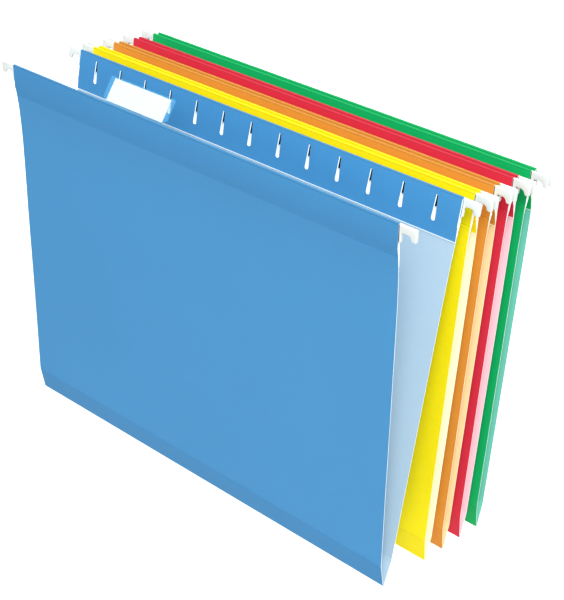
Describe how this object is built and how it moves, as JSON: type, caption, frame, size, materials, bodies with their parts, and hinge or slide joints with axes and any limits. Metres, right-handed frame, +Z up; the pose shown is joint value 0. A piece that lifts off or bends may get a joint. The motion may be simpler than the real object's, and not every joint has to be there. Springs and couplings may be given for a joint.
{
  "type": "hanging file folder",
  "caption": "Set of letter-size hanging file folders: folded card leaves with slotted hems on flat steel rods, coated hooks for drawer rails, and a clear tab with a paper label.",
  "frame": {"origin": "on the rail line, midway between the two hooks of the blue folder's back rod", "axes": "+X along the rods to the right, +Y from the front folder to the rear one, +Z up"},
  "size_m": [0.3206, 0.1224, 0.2483],
  "materials": {
    "blue_card": "matt, lighter inside",
    "yellow_card": "matt, lighter inside",
    "orange_card": "matt, lighter inside",
    "red_card": "matt, lighter inside",
    "green_card": "matt, lighter inside",
    "rod_steel": "dark rolled strip",
    "hook_coat": "smooth",
    "tab_plastic": "clear, tinted",
    "label_paper": "matt"
  },
  "bodies": {
    "blue_front": {"blue_front_leaf": "blue_card", "blue_front_rod": "rod_steel", "blue_front_hook_coat_left": "hook_coat", "blue_front_hook_coat_right": "hook_coat", "blue_tab_holder": "tab_plastic"},
    "blue_back": {"blue_back_leaf": "blue_card", "blue_back_rod": "rod_steel", "blue_back_hook_coat_left": "hook_coat", "blue_back_hook_coat_right": "hook_coat"},
    "yellow_front": {"yellow_front_leaf": "yellow_card", "yellow_front_rod": "rod_steel", "yellow_front_hook_coat_left": "hook_coat", "yellow_front_hook_coat_right": "hook_coat"},
    "yellow_back": {"yellow_back_leaf": "yellow_card", "yellow_back_rod": "rod_steel", "yellow_back_hook_coat_left": "hook_coat", "yellow_back_hook_coat_right": "hook_coat"},
    "orange_front": {"orange_front_leaf": "orange_card", "orange_front_rod": "rod_steel", "orange_front_hook_coat_left": "hook_coat", "orange_front_hook_coat_right": "hook_coat"},
    "orange_back": {"orange_back_leaf": "orange_card", "orange_back_rod": "rod_steel", "orange_back_hook_coat_left": "hook_coat", "orange_back_hook_coat_right": "hook_coat"},
    "red_front": {"red_front_leaf": "red_card", "red_front_rod": "rod_steel", "red_front_hook_coat_left": "hook_coat", "red_front_hook_coat_right": "hook_coat"},
    "red_back": {"red_back_leaf": "red_card", "red_back_rod": "rod_steel", "red_back_hook_coat_left": "hook_coat", "red_back_hook_coat_right": "hook_coat"},
    "green_front": {"green_front_leaf": "green_card", "green_front_rod": "rod_steel", "green_front_hook_coat_left": "hook_coat", "green_front_hook_coat_right": "hook_coat"},
    "green_back": {"green_back_leaf": "green_card", "green_back_rod": "rod_steel", "green_back_hook_coat_left": "hook_coat", "green_back_hook_coat_right": "hook_coat"},
    "blue_label": {"blue_label_insert": "label_paper"}
  },
  "joints": [
    {"name": "blue_open", "type": "hinge", "parent": "blue_back", "child": "blue_front", "pos_m": [0, -0.02638, -0.22895], "axis": [1, 0, 0], "range_deg": [-12, 33]},
    {"name": "label_slide", "type": "slide", "parent": "blue_front", "child": "blue_label", "axis": [1, 0, 0], "range_m": [0, 0.05]},
    {"name": "yellow_back_slide", "type": "slide", "parent": "blue_back", "child": "yellow_back", "axis": [0, 1, 0], "range_m": [-0.0015, 0.045]},
    {"name": "yellow_front_open", "type": "hinge", "parent": "yellow_back", "child": "yellow_front", "pos_m": [0, 0.0131, -0.23045], "axis": [1, 0, 0], "range_deg": [-0.5, 11.3]},
    {"name": "orange_back_slide", "type": "slide", "parent": "yellow_back", "child": "orange_back", "axis": [0, 1, 0], "range_m": [-0.0015, 0.045]},
    {"name": "orange_front_open", "type": "hinge", "parent": "orange_back", "child": "orange_front", "pos_m": [0, 0.0304, -0.23045], "axis": [1, 0, 0], "range_deg": [-0.5, 11.3]},
    {"name": "red_back_slide", "type": "slide", "parent": "orange_back", "child": "red_back", "axis": [0, 1, 0], "range_m": [-0.0015, 0.045]},
    {"name": "red_front_open", "type": "hinge", "parent": "red_back", "child": "red_front", "pos_m": [0, 0.0477, -0.23045], "axis": [1, 0, 0], "range_deg": [-0.5, 11.3]},
    {"name": "green_back_slide", "type": "slide", "parent": "red_back", "child": "green_back", "axis": [0, 1, 0], "range_m": [-0.0015, 0.045]},
    {"name": "green_front_open", "type": "hinge", "parent": "green_back", "child": "green_front", "pos_m": [0, 0.065, -0.23045], "axis": [1, 0, 0], "range_deg": [-0.5, 11.3]}
  ],
  "couplings": [
    {"joint": "yellow_front_open", "follows": "yellow_back_slide", "rad_per_m": 4.3393},
    {"joint": "orange_front_open", "follows": "orange_back_slide", "rad_per_m": 4.3393},
    {"joint": "red_front_open", "follows": "red_back_slide", "rad_per_m": 4.3393},
    {"joint": "green_front_open", "follows": "green_back_slide", "rad_per_m": 4.3393}
  ]
}
